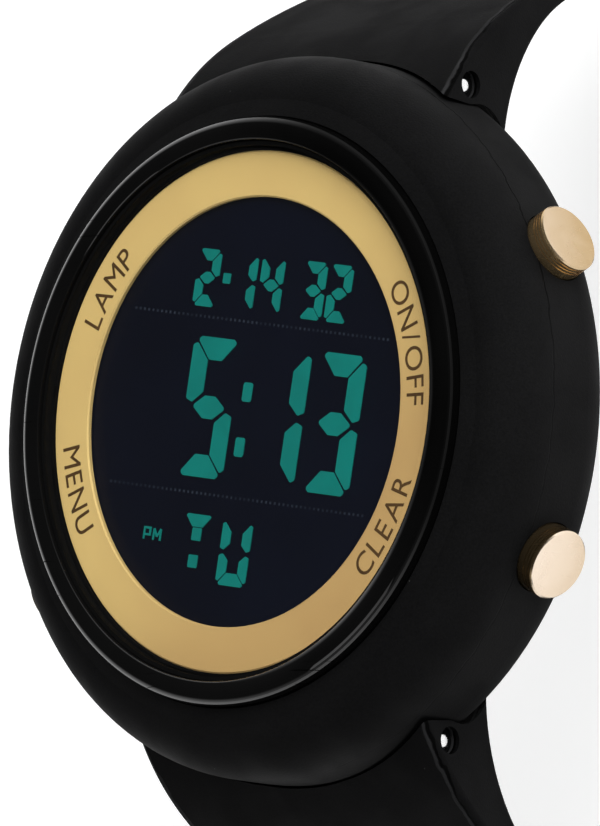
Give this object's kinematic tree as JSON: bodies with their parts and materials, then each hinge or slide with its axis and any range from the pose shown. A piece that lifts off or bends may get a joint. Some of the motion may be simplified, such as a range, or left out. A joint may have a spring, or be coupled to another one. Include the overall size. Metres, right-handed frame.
{
  "type": "digital wristwatch",
  "caption": "Round digital wristwatch with a dark negative display, gold dial ring and push-buttons, and a black two-piece buckle strap, open.",
  "frame": {"origin": "middle of the case back's outer face", "axes": "+Z out of the dial, +Y to the strap end above the display, +X to the side of the pushers at two and four o'clock"},
  "size_m": [0.05, 0.0824, 0.0611],
  "materials": {
    "case_plastic": "matte black moulded resin",
    "ring_gloss": "polished black",
    "crystal_glass": "clear, polished",
    "seal_rubber": "soft black elastomer",
    "dial_gold": "satin gold with dark printed legends",
    "display_dark": "dark negative display cell",
    "film_dark": "neutral polarising film",
    "film_silver": "silvered film",
    "digit_teal": "lit segment, teal",
    "guide_clear": "frosted clear moulding",
    "led_body": "cream lamp body",
    "zebra_rubber": "layered rubber connector",
    "frame_plastic": "off-white moulding",
    "board_green": "green solder mask",
    "chip_resin": "black potting resin",
    "steel": "fine brushed",
    "steel_bright": "bright turned steel",
    "spring_steel": "drawn wire",
    "contact_brass": "gold-flashed sheet",
    "insulator_film": "amber film",
    "push_gold": "satin pale gold",
    "strap_resin": "matte black flexible resin",
    "print_ink": "dark brown printed legends",
    "buckle_plastic": "matte black moulded resin"
  },
  "bodies": {
    "case": {"case_body": "case_plastic", "bezel_ring": "ring_gloss", "crystal": "crystal_glass", "crystal_gasket": "seal_rubber", "dial_ring": "dial_gold", "lcd_panel": "display_dark", "lcd_polariser": "film_dark", "lcd_reflector": "film_silver", "lcd_segments": "digit_teal", "light_guide": "guide_clear", "backlight_led": "led_body", "zebra_strips": "zebra_rubber", "module_frame": "frame_plastic", "circuit_board": "board_green", "chip_blob": "chip_resin", "quartz_can": "steel_bright", "movement_holder": "frame_plastic", "coin_cell": "steel_bright", "battery_insulator": "insulator_film", "battery_clip": "steel", "module_screws": "steel_bright", "contact_springs": "contact_brass", "buzzer_disc": "contact_brass", "buzzer_spring": "spring_steel", "back_cushion": "seal_rubber", "back_gasket": "seal_rubber", "case_back": "steel", "back_screws": "steel_bright", "pusher_seals": "seal_rubber", "pusher_spring_two": "spring_steel", "pusher_spring_four": "spring_steel", "pusher_spring_eight": "spring_steel", "pusher_spring_ten": "spring_steel", "spring_bar_tube_upper": "steel", "fixed_tip_upper": "steel_bright", "bar_spring_upper": "spring_steel", "spring_bar_tube_lower": "steel", "fixed_tip_lower": "steel_bright", "bar_spring_lower": "spring_steel"},
    "pusher_two": {"pusher_two": "push_gold", "pusher_clip_two": "spring_steel"},
    "pusher_four": {"pusher_four": "push_gold", "pusher_clip_four": "spring_steel"},
    "pusher_eight": {"pusher_eight": "push_gold", "pusher_clip_eight": "spring_steel"},
    "pusher_ten": {"pusher_ten": "push_gold", "pusher_clip_ten": "spring_steel"},
    "moving_tip_upper": {"moving_tip_upper": "steel_bright"},
    "moving_tip_lower": {"moving_tip_lower": "steel_bright"},
    "strap_upper": {"strap_upper": "strap_resin", "fixed_keeper": "strap_resin"},
    "strap_lower": {"strap_lower": "strap_resin"},
    "free_keeper": {"free_keeper": "strap_resin"},
    "buckle": {"buckle_frame": "buckle_plastic", "buckle_bar": "steel"},
    "tang": {"buckle_tang": "buckle_plastic"}
  },
  "joints": [
    {"name": "push_two", "type": "slide", "parent": "case", "child": "pusher_two", "axis": [-0.9056, -0.4242, 0], "range_m": [0, 0.0009], "stiffness_N_per_m": 600, "springref_m": -0.0005, "deforming": ["pusher_spring_two"]},
    {"name": "push_four", "type": "slide", "parent": "case", "child": "pusher_four", "axis": [-0.9056, 0.4242, 0], "range_m": [0, 0.0009], "stiffness_N_per_m": 600, "springref_m": -0.0005, "deforming": ["pusher_spring_four"]},
    {"name": "push_eight", "type": "slide", "parent": "case", "child": "pusher_eight", "axis": [0.9056, 0.4242, 0], "range_m": [0, 0.0009], "stiffness_N_per_m": 600, "springref_m": -0.0005, "deforming": ["pusher_spring_eight"]},
    {"name": "push_ten", "type": "slide", "parent": "case", "child": "pusher_ten", "axis": [0.9056, -0.4242, 0], "range_m": [0, 0.0009], "stiffness_N_per_m": 600, "springref_m": -0.0005, "deforming": ["pusher_spring_ten"]},
    {"name": "turn_strap_upper", "type": "hinge", "parent": "case", "child": "strap_upper", "pos_m": [0, 0.0225, 0.0044], "axis": [1, 0, 0], "range_deg": [-8, 6]},
    {"name": "turn_strap_lower", "type": "hinge", "parent": "case", "child": "strap_lower", "pos_m": [0, -0.0225, 0.0044], "axis": [1, 0, 0], "range_deg": [-6, 8]},
    {"name": "release_tip_upper", "type": "slide", "parent": "case", "child": "moving_tip_upper", "axis": [-1, 0, 0], "range_m": [0, 0.0021], "stiffness_N_per_m": 150, "springref_m": -0.001, "deforming": ["bar_spring_upper"]},
    {"name": "release_tip_lower", "type": "slide", "parent": "case", "child": "moving_tip_lower", "axis": [-1, 0, 0], "range_m": [0, 0.0021], "stiffness_N_per_m": 150, "springref_m": -0.001, "deforming": ["bar_spring_lower"]},
    {"name": "turn_buckle", "type": "hinge", "parent": "strap_upper", "child": "buckle", "pos_m": [0, 0.04189, -0.03517], "axis": [1, 0, 0], "range_deg": [-80, 50]},
    {"name": "turn_tang", "type": "hinge", "parent": "buckle", "child": "tang", "pos_m": [0, 0.04189, -0.03517], "axis": [1, 0, 0], "range_deg": [0, 80]},
    {"name": "slide_keeper", "type": "slide", "parent": "strap_upper", "child": "free_keeper", "axis": [0, 0.342, -0.9397], "range_m": [-0.0015, 0.0035]}
  ]
}
